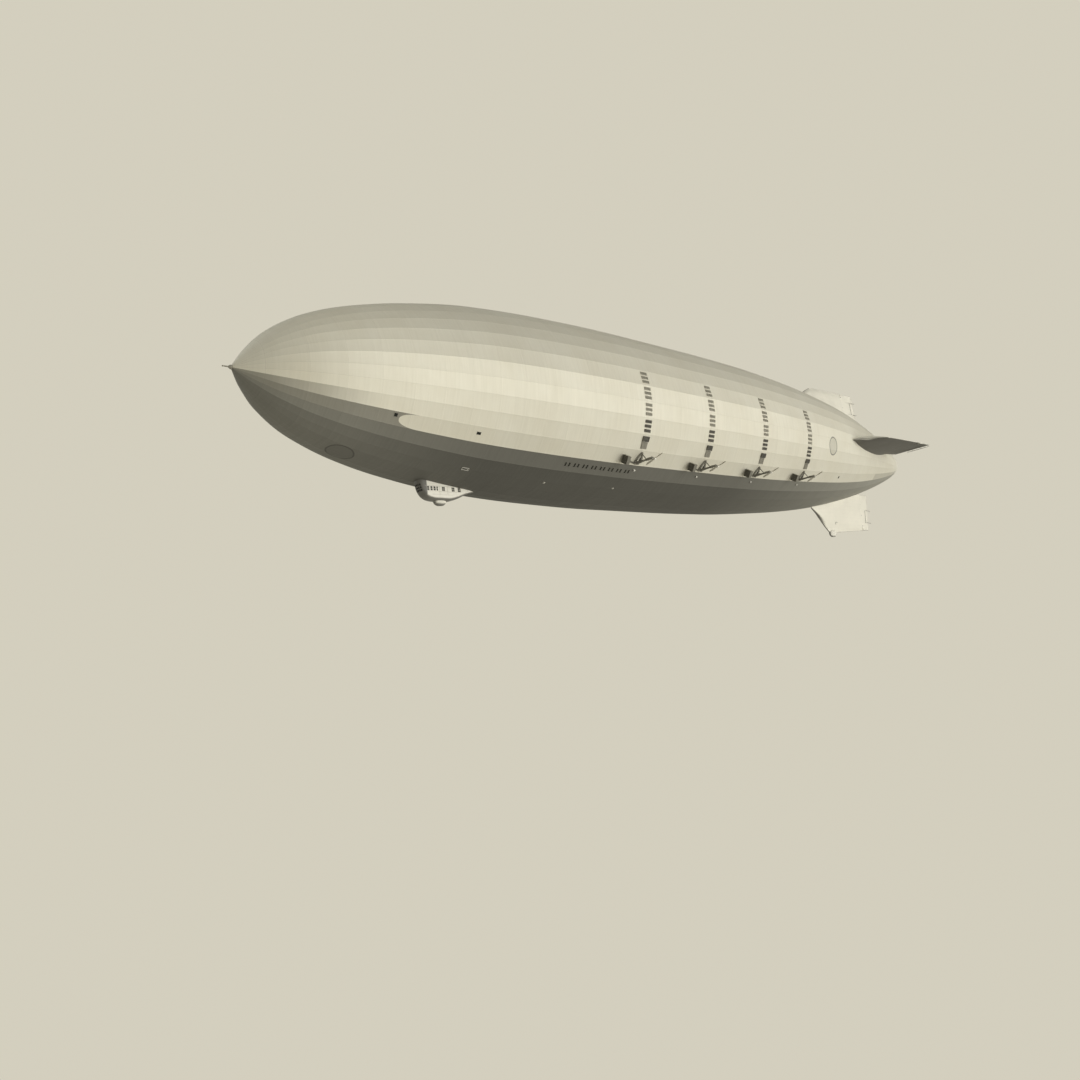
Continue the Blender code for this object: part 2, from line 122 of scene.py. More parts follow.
# Materials
class Paint:
    """Node material: a Principled shader with helpers that take numbers or sockets."""

    def __init__(self, name, rough, metal=0, spec=0.5):
        self.mat = bpy.data.materials.new(name)
        self.mat.use_nodes = True
        self.tree = self.mat.node_tree
        self.shader = self.tree.nodes["Principled BSDF"]
        self.fill(self.shader, Roughness=rough, Metallic=metal, Specular_IOR_Level=spec)
        self.place = self.tree.nodes.new("ShaderNodeTexCoord").outputs["Object"]

    def wire(self, value, socket):
        if isinstance(value, (int, float)):
            socket.default_value = value
        elif isinstance(value, (tuple, Vector)):
            alpha = (1,) if len(value) == 3 and socket.type == "RGBA" else ()
            socket.default_value = tuple(value) + alpha
        else:
            self.tree.links.new(value, socket)

    def fill(self, node, **values):
        """Sets inputs by name, with _ for a space."""
        for key, value in values.items():
            self.wire(value, node.inputs[key.replace("_", " ")])

    def node(self, kind, *values, **settings):
        """New node with its settings, and its first inputs set from the values."""
        node = self.tree.nodes.new("ShaderNode" + kind)
        for key, value in settings.items():
            setattr(node, key, value)
        for value, socket in zip(values, node.inputs):
            self.wire(value, socket)
        return node

    def math(self, operation, *values):
        return self.node("Math", *values, operation=operation).outputs[0]

    def plus(self, a, b):
        return self.math("ADD", a, b)

    def minus(self, a, b):
        return self.math("SUBTRACT", a, b)

    def times(self, value, *factors):
        for factor in factors:
            value = self.math("MULTIPLY", value, factor)
        return value

    def near(self, value, step):
        """Distance to the nearest multiple of a step."""
        share = self.math("FRACT", self.math("DIVIDE", value, step))
        return self.times(self.math("MINIMUM", share, self.minus(1, share)), step)

    def axes(self):
        return self.node("SeparateXYZ", self.place).outputs

    def reach(self, y, z):
        """Distance from the hull's axis."""
        return self.math("SQRT", self.plus(self.times(y, y), self.times(z, z)))

    def normal(self):
        geometry = self.node("NewGeometry")
        return self.node("SeparateXYZ", geometry.outputs["True Normal"]).outputs

    def vector(self, *axes):
        return self.node("CombineXYZ", *axes).outputs[0]

    def noise(self, scale, detail, rough, where=None):
        node = self.node("TexNoise", self.place if where is None else where)
        self.fill(node, Scale=scale, Detail=detail, Roughness=rough)
        return node.outputs["Fac"]

    def cells(self, where):
        return self.node("TexWhiteNoise", where).outputs["Value"]

    def spread(self, value, low, high, start=0, end=1):
        """Maps low..high to start..end, and holds the ends."""
        return self.node("MapRange", value, low, high, start, end).outputs[0]

    def mix(self, share, a, b):
        node = self.node("Mix", share, data_type="RGBA")
        self.wire(a, node.inputs[6])
        self.wire(b, node.inputs[7])
        return node.outputs[2]

    def tint(self, colour, factor):
        """Colour times a factor that varies over the surface."""
        node = self.node("VectorMath", colour, operation="SCALE")
        self.fill(node, Scale=factor)
        return node.outputs[0]

    def bump(self, height, depth, strength):
        node = self.node("Bump")
        self.fill(node, Strength=strength, Distance=depth, Height=height)
        self.fill(self.shader, Normal=node.outputs[0])

    def worn(self, scale, grain):
        """Soft blotches and fine grain, which both raise the surface a little."""
        blotch = self.noise(scale, 5, 0.6)
        fine = self.noise(grain, 2, 0.5)
        self.bump(self.plus(fine, self.times(blotch, 0.6)), 0.0003, 0.5)
        return blotch, fine

    def rough(self, value):
        self.fill(self.shader, Roughness=value)

    def colour(self, value):
        self.fill(self.shader, Base_Color=value)
        return self.mat


# Cover tones, painted shade: how far each region is darkened, and where along the hull it starts or fades
BELLY_SHADE = 0.72
LOW_BELLY_SHADE = 0.1
BOW_STRIP_SHADE = 0.59
TAIL_STRIP_DARK = 0.2
TAIL_STRIP_AFT = 20.28
STRIP_END = 2.44
STRIP_ROUND = 2.4
# Plain discs on the cover: place, radius, darkness of the rim
DISCS = [(at(16.42, 1.66, -0.335), 0.27, 0.42), (at(16.42, -1.66, -0.335), 0.27, 0.42),
         (at(1.86, 0.08, -1.31), 0.26, 0.3)]


def cover_paint():
    """Doped fabric: light above, with painted shade on the belly and the low strip at the bow, painted light
    toward the nose, taped seams on frames and longitudinals, stains, streaks.
    """
    p = Paint("doped_cover", rough=0.6, metal=0.5, spec=0.35)
    x, y, z = p.axes()
    aft = p.minus(NOSE_X, x)
    angle = p.times(p.math("ARCTAN2", z, p.math("ABSOLUTE", y)), 57.29578)
    # Painted shade: the strip from -35 to -45 degrees is darkened ahead of its rounded end, where it turns
    # away from the light. Aft of TAIL_STRIP_AFT the strip is darker as well.
    strip = p.math("ABSOLUTE", p.math("DIVIDE", p.plus(angle, 40), 5))
    along = p.spread(aft, STRIP_END, STRIP_END + 0.42)
    body = p.minus(1, p.math("POWER", p.minus(1, along), STRIP_ROUND))
    limit = p.plus(body, p.spread(aft, STRIP_END + 0.4, STRIP_END + 0.42))
    inside = p.math("LESS_THAN", p.math("POWER", strip, STRIP_ROUND), limit)
    lit_strip = p.times(inside, p.math("GREATER_THAN", aft, STRIP_END))
    on_strip = p.math("LESS_THAN", strip, 1)
    bow_strip_shade = p.times(on_strip, p.minus(1, lit_strip))
    tail_dark = p.times(on_strip, p.spread(aft, TAIL_STRIP_AFT, TAIL_STRIP_AFT + 0.01))
    tone = p.minus(1, p.times(bow_strip_shade, BOW_STRIP_SHADE))
    tone = p.minus(tone, p.times(tail_dark, TAIL_STRIP_DARK))
    # Painted shade: the facet above the strip is darker at the nose, where it faces down and forward.
    above = p.math("LESS_THAN", p.math("ABSOLUTE", p.plus(angle, 30)), 5)
    tone = p.minus(tone, p.times(above, p.spread(aft, 0.3, 2.2, 0.52, 0)))
    # Painted shade on the belly below -45 degrees, more below -55; it is lessened toward the stern, as
    # painted bounce light, and toward the nose.
    belly = p.spread(angle, -45.01, -44.99, 1, 0)
    low = p.spread(angle, -55.01, -54.99, 1, 0)
    dark = p.plus(p.times(belly, BELLY_SHADE), p.times(low, LOW_BELLY_SHADE))
    dark = p.times(dark, p.spread(aft, 12, 22, 1, 0.55), p.spread(aft, 1, 4.5, 0.86, 1))
    tone = p.minus(tone, dark)
    # Painted light: all of the cover is paler toward the nose.
    tone = p.times(tone, p.spread(aft, 0.8, 4.8, 1.24, 1))
    # Longitudinal seams stand at 5, 15, 25 degrees and so on; frames every RING_STEP.
    from_seam = p.plus(angle, 185)
    reach = p.reach(y, z)
    seam_gap = p.times(p.near(from_seam, 10), 0.01745, reach)
    seam = p.spread(seam_gap, 0.0012, 0.003, 1, 0)
    tape = p.spread(seam_gap, 0.0125, 0.014, 1, 0)
    ring_gap = p.near(p.minus(aft, RING_FIRST - 10 * RING_STEP), RING_STEP)
    hoop = p.spread(ring_gap, 0.0014, 0.0032, 1, 0)
    hoop_tape = p.spread(ring_gap, 0.0135, 0.015, 1, 0)
    # Each panel of cloth, and each gore, has its own slight tone.
    bay = p.math("FLOOR", p.math("DIVIDE", p.minus(aft, RING_FIRST), RING_STEP))
    gore = p.math("FLOOR", p.math("DIVIDE", from_seam, 10))
    port = p.math("GREATER_THAN", y, 0)
    tone = p.times(tone, p.spread(p.cells(p.vector(bay, gore, port)), 0, 1, 0.988, 1.01),
                   p.spread(p.cells(p.vector(gore, 3, port)), 0, 1, 0.98, 1.02))
    stain = p.noise(1.1, 5, 0.55)
    drawn_out = p.node("VectorMath", p.place, (26, 1.3, 1.3), operation="MULTIPLY")
    streak = p.noise(1, 4, 0.6, drawn_out.outputs[0])
    tone = p.times(tone, p.spread(stain, 0.3, 0.7, 0.955, 1.03), p.spread(streak, 0.3, 0.75, 1.01, 0.965))
    lines = p.math("MAXIMUM", p.times(seam, 0.16), p.times(hoop, 0.1))
    tapes = p.math("MAXIMUM", tape, hoop_tape)
    tone = p.times(tone, p.minus(1, lines), p.plus(1, p.times(tapes, 0.018)))
    for place, wide, rim_dark in DISCS:
        gap = p.node("VectorMath", p.place, place, operation="DISTANCE").outputs["Value"]
        disc = p.spread(gap, wide, wide + 0.004, 1, 0)
        rim = p.times(disc, p.spread(gap, wide - 0.03, wide - 0.026))
        disc = p.times(disc, p.plus(p.times(rim, rim_dark), rim_dark * 0.45))
        tone = p.times(tone, p.minus(1, disc))
    warm = p.mix(p.spread(stain, 0.25, 0.75), (0.8, 0.77, 0.655), (0.775, 0.757, 0.665))
    # The painted shade on the belly also turns its colour greyer.
    belly_shade_colour = p.mix(belly, warm, (0.735, 0.725, 0.64))
    weave = p.plus(p.noise(620, 1, 0.4), p.times(p.noise(40, 3, 0.5), 1.5))
    p.bump(p.plus(p.times(tapes, 6), weave), 0.0004, 0.55)
    p.rough(p.spread(streak, 0.25, 0.75, 0.55, 0.66))
    return p.colour(p.tint(belly_shade_colour, tone))


def plain_paint(name, colour, rough, metal, wear, scale, grain=160):
    """Painted or bare surface with soft blotches, fine grain and grime."""
    p = Paint(name, rough=rough, metal=metal)
    blotch, fine = p.worn(scale, grain)
    tone = p.times(p.spread(blotch, 0.3, 0.7, 1 - wear, 1 + wear), p.spread(fine, 0.2, 0.8, 0.97, 1.03))
    p.rough(p.spread(blotch, 0.3, 0.7, rough + 0.08, rough - 0.06))
    return p.colour(p.tint(colour, tone))


def shaded_paint(name, colour, rough, grain=160):
    """White side, with painted shade on the underside and on the front, which ends in an upright line."""
    p = Paint(name, rough=rough, spec=0.4)
    # Painted shade: faces turned down or forward, and the car ahead of an upright line, are darkened.
    ahead, _, up = p.normal()
    under = p.spread(up, -0.3, -0.62)
    front = p.spread(p.axes()[0], NOSE_X - 3.655, NOSE_X - 3.635)
    front = p.math("MAXIMUM", p.spread(ahead, 0.42, 0.72), front)
    tone = p.minus(1, p.times(p.math("MAXIMUM", under, front), 0.8))
    tone = p.times(tone, p.spread(p.worn(12, grain)[0], 0.3, 0.7, 0.97, 1.03))
    return p.colour(p.tint(colour, tone))


def glass_paint(name, colour):
    p = Paint(name, rough=0.1, spec=0.3)
    haze = p.noise(30, 3, 0.6)
    p.rough(p.spread(haze, 0.3, 0.7, 0.1, 0.2))
    return p.colour(p.tint(colour, p.spread(haze, 0.3, 0.7, 0.8, 1.25)))


def fin_paint():
    """Fin cover: doped fabric over ribs, rib lines across the chord, painted shade under the level fins."""
    p = Paint("fin_cover", rough=0.6, metal=0.2, spec=0.35)
    x, y, z = p.axes()
    reach = p.reach(y, z)
    line = p.spread(p.near(reach, 0.1125), 0.0015, 0.0045, 1, 0)
    cross = p.spread(p.near(x, 0.45), 0.002, 0.005, 1, 0)
    ribs = p.math("MAXIMUM", line, cross)
    stain = p.noise(2.2, 5, 0.55)
    # Painted shade on faces turned downward.
    under = p.spread(p.normal()[2], -0.35, -0.6)
    tone = p.spread(stain, 0.3, 0.7, 0.95, 1.03)
    tone = p.times(tone, p.minus(1, p.times(ribs, 0.04)), p.minus(1, p.times(under, 0.84)))
    fine = p.noise(500, 1, 0.4)
    p.bump(p.plus(fine, p.times(ribs, 5)), 0.0004, 0.5)
    p.rough(p.spread(stain, 0.3, 0.7, 0.45, 0.58))
    return p.colour(p.tint((0.9, 0.875, 0.775), tone))


COVER = cover_paint()
FIN = fin_paint()
# Plain paints: name, colour, roughness, metal, wear, scale of the blotches, scale of the grain
DARK = plain_paint("dark_core", (0.075, 0.072, 0.061), 0.55, 0, 0.25, 22)
# The condenser core and slat paints are paler copies of the dark core and louvre paints, for the higher
# condenser bars: painted light.
LIT_CORE = plain_paint("lit_condenser_core", (0.38, 0.365, 0.305), 0.55, 0, 0.15, 22)
LIT_SLAT = plain_paint("lit_slat_metal", (0.5, 0.48, 0.405), 0.45, 0.2, 0.12, 24)
LOUVRE = plain_paint("louvre_metal", (0.185, 0.178, 0.15), 0.5, 0.25, 0.16, 30)
PANEL = plain_paint("panel_metal", (0.33, 0.315, 0.262), 0.45, 0.2, 0.08, 14)
STRUT = plain_paint("strut_metal", (0.175, 0.167, 0.14), 0.42, 0.3, 0.14, 24)
BASE = plain_paint("base_metal", (0.23, 0.22, 0.184), 0.42, 0.25, 0.1, 20)
BRIGHT = plain_paint("bright_metal", (0.88, 0.86, 0.78), 0.35, 0.1, 0.07, 30)
BLADE_WOOD = plain_paint("painted_blade", (0.6, 0.575, 0.49), 0.4, 0, 0.1, 14, 70)
TIP = plain_paint("blade_tip_sheath", (0.52, 0.49, 0.41), 0.35, 0.4, 0.1, 40)
STEEL = plain_paint("steel_fitting", (0.3, 0.29, 0.25), 0.45, 0.5, 0.1, 35)
CAR_SKIN = shaded_paint("car_panels", (0.94, 0.92, 0.83), 0.4)
CAR_TRIM = plain_paint("car_trim", (0.62, 0.6, 0.53), 0.4, 0.3, 0.08, 26)
CABIN = plain_paint("cabin_lining", (0.1, 0.092, 0.07), 0.7, 0, 0.15, 16)
RUBBER = shaded_paint("bumper_bag", (0.94, 0.92, 0.83), 0.55, 240)
GLASS = glass_paint("window_glass", (0.022, 0.024, 0.021))


# Mesh building
def circle(count):
    """Angles of a full turn in equal steps."""
    return [2 * pi * i / count for i in range(count)]


def placed(name, data):
    """New object in the scene; a bmesh becomes its mesh."""
    if isinstance(data, bmesh.types.BMesh):
        bm, data = data, bpy.data.meshes.new(name)
        bm.to_mesh(data)
        bm.free()
    obj = bpy.data.objects.new(name, data)
    bpy.context.scene.collection.objects.link(obj)
    return obj


def oval(centre, sizes, a, count, wave=0):
    """Level ring of points on an ellipsoid, at an angle up from its middle."""
    long, wide, high = sizes
    return [centre + Vector((long * cos(a) * cos(b), wide * cos(a) * sin(b), high * sin(a)))
            * (1 + wave * cos(12 * b)) for b in circle(count)]


class Solid:
    """Collects closed bodies into one mesh, each with its material number."""

    def __init__(self):
        self.verts = []
        self.faces = []
        self.slots = []
        self.paint = 0

    def add(self, verts, faces):
        base = len(self.verts)
        self.verts += [Vector(v) for v in verts]
        for face in faces:
            self.faces.append([base + i for i in face])
            self.slots.append(self.paint)

    def box(self, centre, size, bevel=0, turn=None):
        """Box with cut edges: each corner has one point on each of its three faces."""
        cut = min(bevel, 0.45 * min(size))
        corners = [(sx, sy, sz) for sx in (-1, 1) for sy in (-1, 1) for sz in (-1, 1)]
        verts = []
        index = {}
        for sign in corners:
            for axis in range(3):
                index[sign, axis] = len(verts)
                v = Vector([sign[i] * (size[i] / 2 - (0 if i == axis else cut)) for i in range(3)])
                verts.append((turn @ v if turn is not None else v) + Vector(centre))
        faces = [[index[sign, axis] for axis in range(3)] for sign in corners]

        def corner(signs):
            return tuple(signs[i] for i in range(3))

        for axis in range(3):
            b, c = [i for i in range(3) if i != axis]
            for s in (-1, 1):
                faces.append([index[corner({axis: s, b: sb, c: sc}), axis]
                              for sb, sc in ((-1, -1), (1, -1), (1, 1), (-1, 1))])
                for sb in (-1, 1):
                    low, high = [corner({axis: end, b: s, c: sb}) for end in (-1, 1)]
                    faces.append([index[low, b], index[high, b], index[high, c], index[low, c]])
        self.add(verts, faces)

    def loft(self, rings):
        n = len(rings[0])
        verts = [v for ring in rings for v in ring]
        faces = []
        for i in range(len(rings) - 1):
            for j in range(n):
                k = (j + 1) % n
                faces.append((i * n + j, i * n + k, (i + 1) * n + k, (i + 1) * n + j))
        faces += [range(n), range(len(verts) - n, len(verts))]
        self.add(verts, faces)

    def tube(self, points, widths, sides):
        """Bar along points; widths is one radius or one for each point."""
        points = [Vector(p) for p in points]
        if isinstance(widths, (int, float)):
            widths = [widths] * len(points)
        rings = []
        side = None
        for i, p in enumerate(points):
            along = (points[min(i + 1, len(points) - 1)] - points[max(i - 1, 0)]).normalized()
            if side is None:
                side = along.orthogonal().normalized()
            side = (side - along * side.dot(along)).normalized()
            other = along.cross(side)
            rings.append([p + (side * cos(a) + other * sin(a)) * widths[i] for a in circle(sides)])
        self.loft(rings)

    def lathe(self, centre, axis, rows, sides=24):
        """Turned body: rows are (distance along the axis, radius)."""
        axis = Vector(axis).normalized()
        side = axis.orthogonal().normalized()
        other = axis.cross(side)
        centre = Vector(centre)
        self.loft([[centre + axis * d + (side * cos(a) + other * sin(a)) * max(r, 0.0004)
                    for a in circle(sides)] for d, r in rows])

    def bolts(self, centre, axis, reach, count, rows, first=0):
        """Ring of six-sided heads round an axis along x or y."""
        for a in circle(count):
            a += radians(first)
            out = Vector((0, cos(a), sin(a)) if axis[0] else (cos(a), 0, sin(a)))
            self.lathe(Vector(centre) + out * reach, axis, rows, 6)

    def skin_box(self, aft, degrees, size, rise, bevel=0, shift=(0, 0)):
        """Box standing on the hull: size along, across and out; shift moves it along and across."""
        point, turn = skin_point(aft, degrees, rise)
        self.box(point + turn @ Vector((*shift, 0)), size, bevel, turn)

    def skin_frame(self, aft, degrees, size, bar, rise, bevel, over=0):
        """Four bars on the edges of an opening; bar is their width and depth, over their extra length."""
        wide, high = size
        for s in (-1, 1):
            self.skin_box(aft, degrees, (bar[0], high + over, bar[1]), rise, bevel, (s * wide / 2, 0))
            self.skin_box(aft, degrees, (wide + over, bar[0], bar[1]), rise, bevel, (0, s * high / 2))

    def as_bmesh(self, side=1):
        bm = bmesh.new()
        made = [bm.verts.new((v.x, v.y * side, v.z)) for v in self.verts]
        for face, paint in zip(self.faces, self.slots):
            bm.faces.new([made[i] for i in face]).material_index = paint
        bmesh.ops.remove_doubles(bm, verts=bm.verts, dist=1e-7)
        bmesh.ops.recalc_face_normals(bm, faces=bm.faces)
        return bm

    def build(self, name, paints, body="envelope", replaces=(), side=1):
        finish_mesh(name, self.as_bmesh(side), paints, body, replaces)


def finish_mesh(name, bm, paints, body, replaces, crease=35):
    """Mesh object riding on a body; creases sharper than the angle stay hard."""
    obj = placed(name, bm)
    for paint in paints:
        obj.data.materials.append(paint)
    obj.data.shade_smooth()
    obj.data.set_sharp_from_angle(angle=radians(crease))
    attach(obj, body)
    if replaces:
        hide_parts(*replaces)


# Hull cover: 36 gores between longitudinals, fabric drawn in a little between the frames
CABIN_WINDOWS = [6.33 + 0.25 * pair + 0.05 * half for pair in range(8) for half in (-1, 1)]
PORTS = [(2.37, -37.6, 0.062, 0.066), (4, -39.2, 0.085, 0.052), (17.27, -39.5, 0.06, 0.06)]
HOLES = [(aft, -50, 0.045, 0.098) for aft in CABIN_WINDOWS] + PORTS
SAG = 0.0016


def holes_on(facet, first, last):
    """Holes of a facet as (aft from, aft to, share from, share to) across it; starboard mirrors port."""
    port = facet if -90 <= facet <= 90 else (180 - facet if facet > 0 else -180 - facet)
    out = []
    for aft, degrees, wide, high in HOLES:
        if 10 * round(degrees / 10) == port and first < aft < last:
            half = radius(aft) * sin(radians(5))
            middle = flat(aft) * tan(radians(degrees - port)) / half
            middle = middle if port == facet else -middle
            out.append((aft - wide / 2, aft + wide / 2, middle - high / 2 / half, middle + high / 2 / half))
    return out


def stations(first, last):
    step = 0.035 if first < 0.5 else 0.09375 if last < 22.5 else 0.05
    count = max(2, ceil((last - first) / step))
    rows = steps(first, last, count)
    for aft, _, wide, _ in HOLES:
        if first < aft < last:
            edges = [aft - wide / 2, aft + wide / 2]
            rows = [r for r in rows if r in (first, last) or all(abs(r - e) > 0.012 for e in edges)] + edges
    return sorted(rows)


def cover_section(name, first, last):
    start = 0.006 if first == 0 else first + 0.0002
    end = 23.925 if last > 23.9 else last - 0.0002
    rows = stations(start, end)
    bm = bmesh.new()
    grid = {}
    for k in range(36):
        facet = 10 * k if k <= 18 else 10 * k - 360
        gaps = holes_on(facet, first, last)
        cols = sorted({-1, -0.5, 0, 0.5, 1} | {s for g in gaps for s in g[2:]})
        cols = [c for c in cols if abs(c) == 1 or any(c in g[2:] for g in gaps)
                or all(abs(c - s) > 0.08 for g in gaps for s in g[2:])]
        for i, aft in enumerate(rows):
            r = radius(aft)
            swell = sin(pi * ((aft - RING_FIRST) / RING_STEP % 1)) ** 2
            a, b = [Vector((0, cos(t), sin(t))) * r for t in (radians(facet - 5), radians(facet + 5))]
            out = (a + b).normalized()
            for j, c in enumerate(cols):
                p = a.lerp(b, (c + 1) / 2) - out * (SAG * (1 - c * c) * (0.35 + 0.65 * swell) * min(1, r))
                grid[k, i, j] = bm.verts.new(at(aft, p.y, p.z))
        for i in range(len(rows) - 1):
            for j in range(len(cols) - 1):
                u, v = (rows[i] + rows[i + 1]) / 2, (cols[j] + cols[j + 1]) / 2
                if any(g[0] < u < g[1] and g[2] < v < g[3] for g in gaps):
                    continue
                bm.faces.new((grid[k, i, j], grid[k, i + 1, j], grid[k, i + 1, j + 1], grid[k, i, j + 1]))
    bmesh.ops.remove_doubles(bm, verts=bm.verts, dist=1e-5)
    for end_aft, shut in ((rows[0], first == 0), (rows[-1], last > 23.9)):
        if shut:
            edges = [e for e in bm.edges
                     if e.is_boundary and all(abs(v.co.x - (NOSE_X - end_aft)) < 1e-6 for v in e.verts)]
            bmesh.ops.contextual_create(bm, geom=edges)
    bmesh.ops.recalc_face_normals(bm, faces=bm.faces)
    bmesh.ops.solidify(bm, geom=list(bm.faces), thickness=SHELL)
    bmesh.ops.recalc_face_normals(bm, faces=bm.faces)
    finish_mesh("cover_" + name, bm, [COVER], "envelope", [name], crease=6)


for section, first, last in SECTIONS:
    cover_section(section, first, last)

# Cabin windows and ports: thin frames with dark glass set back in the skin
for side_name, side in SIDES.items():
    frames = Solid()
    panes = Solid()
    for aft, degrees, wide, high in HOLES:
        frames.skin_frame(aft, degrees, (wide, high), (0.004, 0.009), -0.0015, 0.001, 0.008)
        panes.skin_box(aft, degrees, (wide + 0.004, high + 0.004, 0.003), -0.0055)
    frames.build("window_frames_" + side_name, [BASE], side=side)
    panes.build("window_panes_" + side_name, [GLASS], side=side)

# Scoops and hatches on the belly, where the photograph shows small bright marks
SCOOPS_AFT = (8.277, 10.469, 12.714, 15.002)
SCOOP = [(-0.03, 0.02, 0.026), (-0.026, 0.022, 0.029), (0, 0.021, 0.026), (0.03, 0.014, 0.014),
         (0.045, 0.006, 0.003)]
HATCHES = [(4.1, -65, 0.15, 0.055), (6.07, -66, 0.045, 0.03), (8.03, -64, 0.04, 0.03)]
for side_name, side in SIDES.items():
    hoods = Solid()
    for aft in SCOOPS_AFT:
        point, turn = skin_point(aft, -48.5)
        hoods.paint = 0
        hoods.loft([[point + turn @ Vector((along, wide * cos(a), max(-0.001, high * sin(a))))
                     for a in steps(0, pi, 10)] for along, wide, high in SCOOP])
        # A dark plate across each scoop's mouth stands for the shade inside it: painted shade.
        hoods.paint = 1
        hoods.box(point + turn @ Vector((-0.0305, 0, 0.011)), (0.002, 0.03, 0.02), 0, turn)
    hoods.build("air_scoops_" + side_name, [BRIGHT, DARK], side=side)
    hatches = Solid()
    for aft, degrees, long, wide in HATCHES:
        hatches.skin_frame(aft, degrees, (long, wide), (0.006, 0.008), 0.003, 0.002)
        hatches.skin_box(aft, degrees, (0.014, 0.01, 0.012), 0.005, 0.002, (long * 0.32, 0))
    hatches.build("belly_hatches_" + side_name, [BRIGHT], side=side)

# Water condensers: louvred bars up five facets above each engine
BAR_WIDE, BOX_WIDE, BAR_HIGH, BAR_PITCH = 0.195, 0.185, 0.064, 0.098
BACKING = [(-0.045, 0.0003), (0.045, 0.0003), (0.045, 0.0025), (-0.045, 0.0025)]


def condenser(aft, tag, side):
    """Bars in threes on four facets, and on the facet below them a dark box with a pale panel under it."""
    s = Solid()

    def up_facet(step):
        return atan(step / flat(aft)) * 180 / pi

    # Backing: two rings for each facet; those of neighbours merge when the piece is built.
    edge = [(along, radius(aft + along) + rise) for along, rise in BACKING]
    s.loft([[at(aft + along, r * cos(a), r * sin(a)) for along, r in edge]
            for k in range(-35, 6, 10) for a in (radians(k), radians(k + 10))])
    groups = [(facet, up_facet(step * BAR_PITCH), BAR_WIDE, BAR_HIGH, 0.0125, 5)
              for facet in (-20, -10, 0, 10) for step in (-1, 0, 1)]
    groups.append((-30, up_facet(0.08), BOX_WIDE, 0.115, 0.03, 8))
    for facet, turn, wide, high, rise, slats in groups:
        angle = facet + turn
        # Lit and shaded copies of one paint: the bars on the -20 facet take the dark core and louvre paints
        # as painted shade, the higher bars the paler core and slat paints as painted light; the box on -30
        # takes the dark ones as well.
        s.paint = 1 if facet <= -20 else 5
        s.skin_box(aft, angle, (wide, high, 0.004), 0.0025)
        s.paint = 4 if facet <= -20 else 2
        for end in (-1, 1):
            for size, to in (((0.005, high), (end * (wide - 0.005) / 2, 0)),
                             ((wide, 0.0045), (0, end * (high - 0.0045) / 2))):
                s.skin_box(aft, angle, (*size, rise - 0.001), rise / 2, 0.0012, to)
        point, lie = skin_point(aft, angle, rise * 0.62)
        tilt = lie @ about_x(-38)
        for i in range(slats):
            up = (i + 0.5) / slats * (high - 0.01) - (high - 0.01) / 2
            s.box(point + lie @ Vector((0, up, 0)), (wide - 0.01, 0.0085, 0.0016), 0, tilt)
        for part in (-0.5, 0, 0.5):
            s.skin_box(aft, angle, (0.003, high - 0.006, rise * 0.5), rise * 0.55, 0, (part * wide / 2, 0))
    s.paint = 3
    low = -30 + up_facet(-0.062)
    s.skin_box(aft, low, (BOX_WIDE, 0.15, 0.011), 0.0065, 0.0035)
    for i in range(8):
        s.skin_box(aft, low, (0.0045, 0.138, 0.004), 0.0125, 0.001, ((i - 3.5) * 0.0235, 0))
    s.build("condenser_panels_" + tag, [COVER, DARK, LIT_SLAT, PANEL, LOUVRE, LIT_CORE],
            replaces=["condenser_" + tag], side=side)


# Outrigger base: an A with a rounded top, one long and one short leg
OUTRIGGER = [(-0.142, -0.14), (-0.09, -0.14), (-0.046, -0.028), (0, 0.085), (0.01, 0.092), (0.024, 0.08),
             (0.052, -0.016), (0.078, -0.105), (0.12, -0.105), (0.098, -0.02), (0.06, 0.1), (0.044, 0.132),
             (0.02, 0.147), (-0.01, 0.145), (-0.032, 0.122), (-0.082, 0.02)]
BASE_BOLTS = [(-0.118, -0.128), (-0.085, -0.06), (-0.045, 0.04), (0.01, 0.12), (0.06, 0.045), (0.08, -0.03),
              (0.098, -0.092), (-0.04, -0.14), (0.02, -0.14)]
SHAFT_END = [(-0.19, 0.021), (-0.125, 0.0195), (-0.122, 0.0245), (-0.098, 0.0245), (-0.095, 0.0172),
             (0.04, 0.0172)]


def base_plate(s, aft):
    """Plate with a bevelled rim on the facet under the shaft."""
    point, turn = skin_point(aft, -40)
    middle = Vector((sum(u for u, w in OUTRIGGER), sum(w for u, w in OUTRIGGER))) / len(OUTRIGGER)
    rings = []
    for rise, inset in ((0, 0), (0.013, 0), (0.016, 0.003)):
        ring = []
        for u, w in OUTRIGGER:
            to = (middle - Vector((u, w))).normalized() * inset
            ring.append(point + turn @ Vector((u + to.x, w + to.y, rise)))
        rings.append(ring)
    s.loft(rings)


